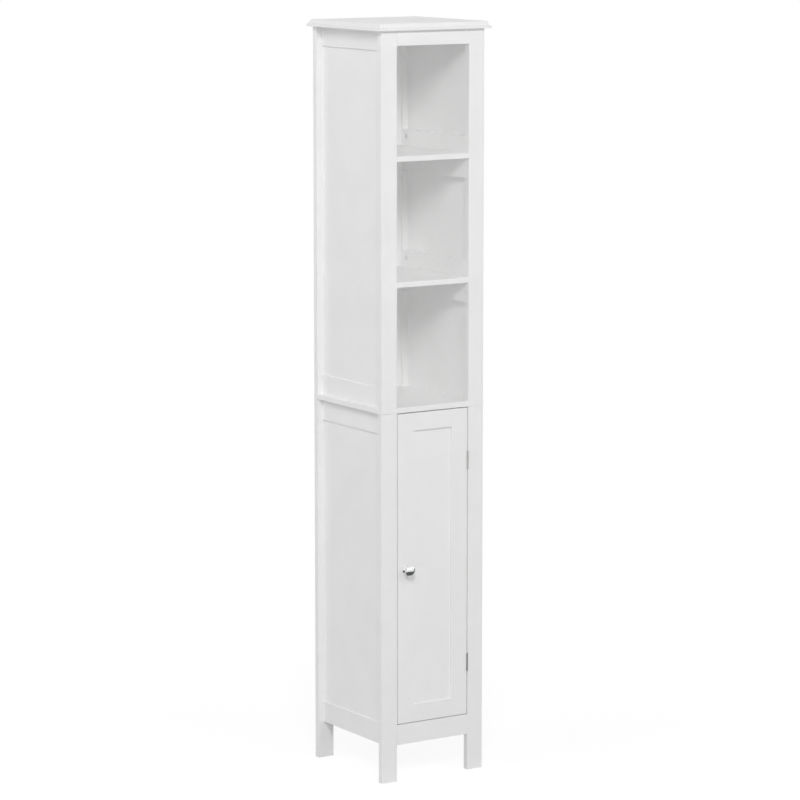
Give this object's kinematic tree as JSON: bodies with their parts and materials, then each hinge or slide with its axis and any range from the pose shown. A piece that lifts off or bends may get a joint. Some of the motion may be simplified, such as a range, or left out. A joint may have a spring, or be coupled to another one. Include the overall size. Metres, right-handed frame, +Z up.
{
  "type": "tall bathroom cabinet",
  "caption": "Tall narrow white bathroom cabinet with open shelves above a cupboard with a panelled door, chrome knob and moulded top.",
  "frame": {"origin": "on the floor, under the middle of the whole object's box", "axes": "+Z up, the front with the door faces -Y, +X to the right of someone who faces the front"},
  "size_m": [0.295, 0.321, 1.7],
  "materials": {
    "white_paint": "white satin paint on sanded wood and board, with slightly rounded edges",
    "white_paint_inside": "thinner white satin paint on the inner boards and cleats",
    "back_board": "smooth white faced thin board",
    "chrome": "polished chrome plate",
    "hinge_steel": "dull nickel plated steel",
    "zinc": "bright zinc plate",
    "beech": "unfinished beech",
    "catch_plastic": "moulded white plastic with a fine grain",
    "magnet": "sintered dark magnet"
  },
  "bodies": {
    "carcass": {"cam_bolts": "zinc", "cam_locks": "zinc", "catch_housing": "catch_plastic", "catch_magnet": "magnet", "cupboard_floor": "white_paint_inside", "cupboard_shelf": "white_paint_inside", "dowels": "beech", "floor_cleat_left": "white_paint_inside", "floor_cleat_right": "white_paint_inside", "hinge_pins": "hinge_steel", "lower_back_panel": "back_board", "lower_front_post_left": "white_paint", "lower_front_post_right": "white_paint", "lower_front_rail": "white_paint", "lower_hinge_frame_leaf": "hinge_steel", "lower_rear_post_left": "white_paint", "lower_rear_post_right": "white_paint", "lower_rear_rail": "white_paint", "lower_shelf": "white_paint", "lower_shelf_rail_left": "white_paint", "lower_shelf_rail_right": "white_paint", "lower_side_bottom_rail_left": "white_paint", "lower_side_bottom_rail_right": "white_paint", "lower_side_panel_left": "white_paint", "lower_side_panel_right": "white_paint", "lower_side_top_rail_left": "white_paint", "lower_side_top_rail_right": "white_paint", "mid_board": "white_paint", "shelf_cleat_left": "white_paint_inside", "shelf_cleat_right": "white_paint_inside", "top_panel": "white_paint", "upper_back_panel": "back_board", "upper_front_post_left": "white_paint", "upper_front_post_right": "white_paint", "upper_front_rail": "white_paint", "upper_hinge_frame_leaf": "hinge_steel", "upper_rear_post_left": "white_paint", "upper_rear_post_right": "white_paint", "upper_rear_rail": "white_paint", "upper_shelf": "white_paint", "upper_shelf_rail_left": "white_paint", "upper_shelf_rail_right": "white_paint", "upper_side_bottom_rail_left": "white_paint", "upper_side_bottom_rail_right": "white_paint", "upper_side_panel_left": "white_paint", "upper_side_panel_right": "white_paint", "upper_side_top_rail_left": "white_paint", "upper_side_top_rail_right": "white_paint"},
    "door": {"door_lock_stile": "white_paint", "door_hinge_stile": "white_paint", "door_top_rail": "white_paint", "door_bottom_rail": "white_paint", "door_panel": "white_paint", "lower_hinge_door_leaf": "hinge_steel", "upper_hinge_door_leaf": "hinge_steel", "knob": "chrome", "knob_screw": "zinc", "strike_plate": "zinc"}
  },
  "joints": [
    {"name": "door_hinge", "type": "hinge", "parent": "carcass", "child": "door", "pos_m": [0.0935, -0.133, 0.4845], "axis": [0, 0, 1], "range_deg": [0, 110]}
  ]
}
